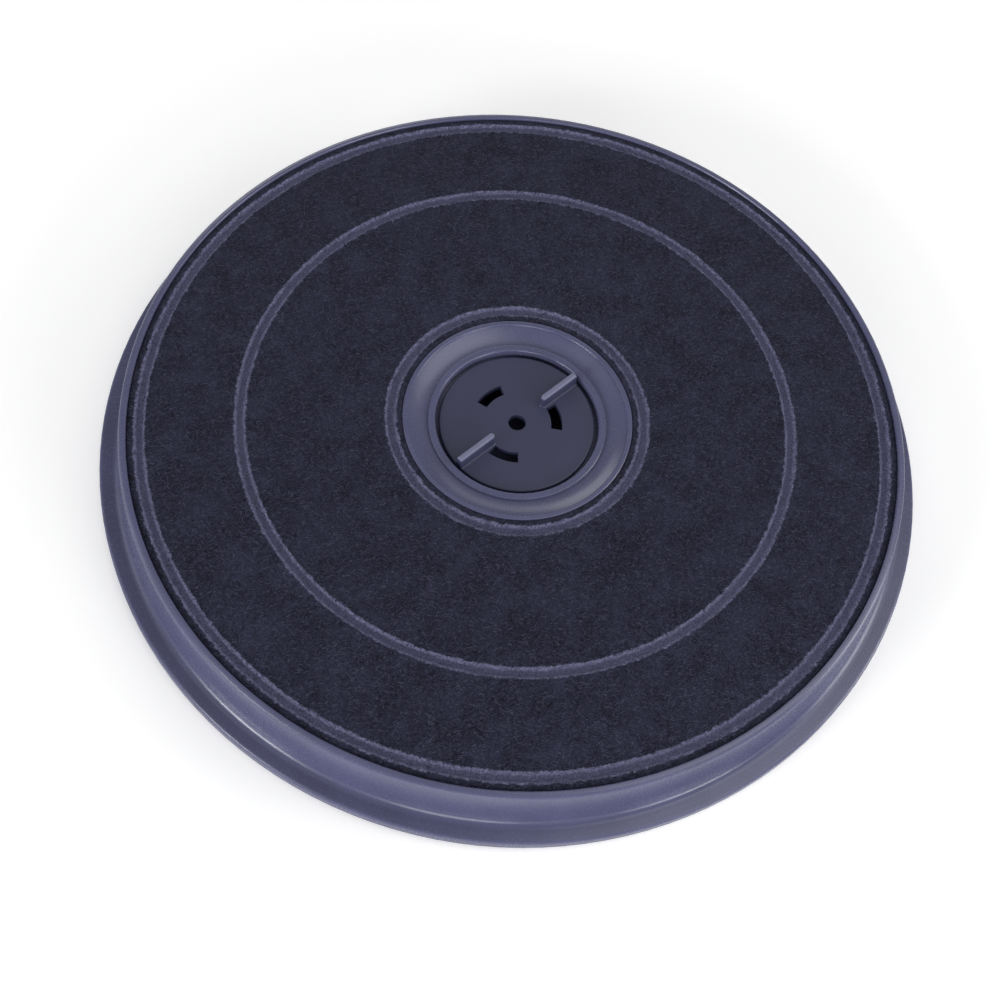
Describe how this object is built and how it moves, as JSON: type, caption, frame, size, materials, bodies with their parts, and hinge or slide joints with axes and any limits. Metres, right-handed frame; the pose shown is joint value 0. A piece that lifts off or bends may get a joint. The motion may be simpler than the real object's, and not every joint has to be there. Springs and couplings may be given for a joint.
{
  "type": "cooker hood carbon filter",
  "caption": "Round carbon filter for a cooker hood: a fleece-faced basket of activated carbon with a grille behind and a bayonet lock disc with grip fins in its hub.",
  "frame": {"origin": "centre of the base, on the plane that the flange rests on", "axes": "+Z out of the fleece side along the axis of the filter and of its lock disc, +X along the two grip fins"},
  "size_m": [0.233, 0.233, 0.0197],
  "materials": {
    "moulded_plastic": "satin",
    "disc_plastic": "satin",
    "fleece": "needled felt",
    "back_fleece": "thin felt",
    "carbon": "granules"
  },
  "bodies": {
    "filter_body": {"housing": "moulded_plastic", "front_fleece": "fleece", "back_fleece_inner": "back_fleece", "back_fleece_outer": "back_fleece", "carbon_bed_inner": "carbon", "carbon_bed_outer": "carbon"},
    "lock_disc": {"lock_disc": "disc_plastic"}
  },
  "joints": [
    {"name": "lock_turn", "type": "hinge", "parent": "filter_body", "child": "lock_disc", "pos_m": [0, 0, 0.0142], "axis": [0, 0, 1], "continuous": true}
  ]
}
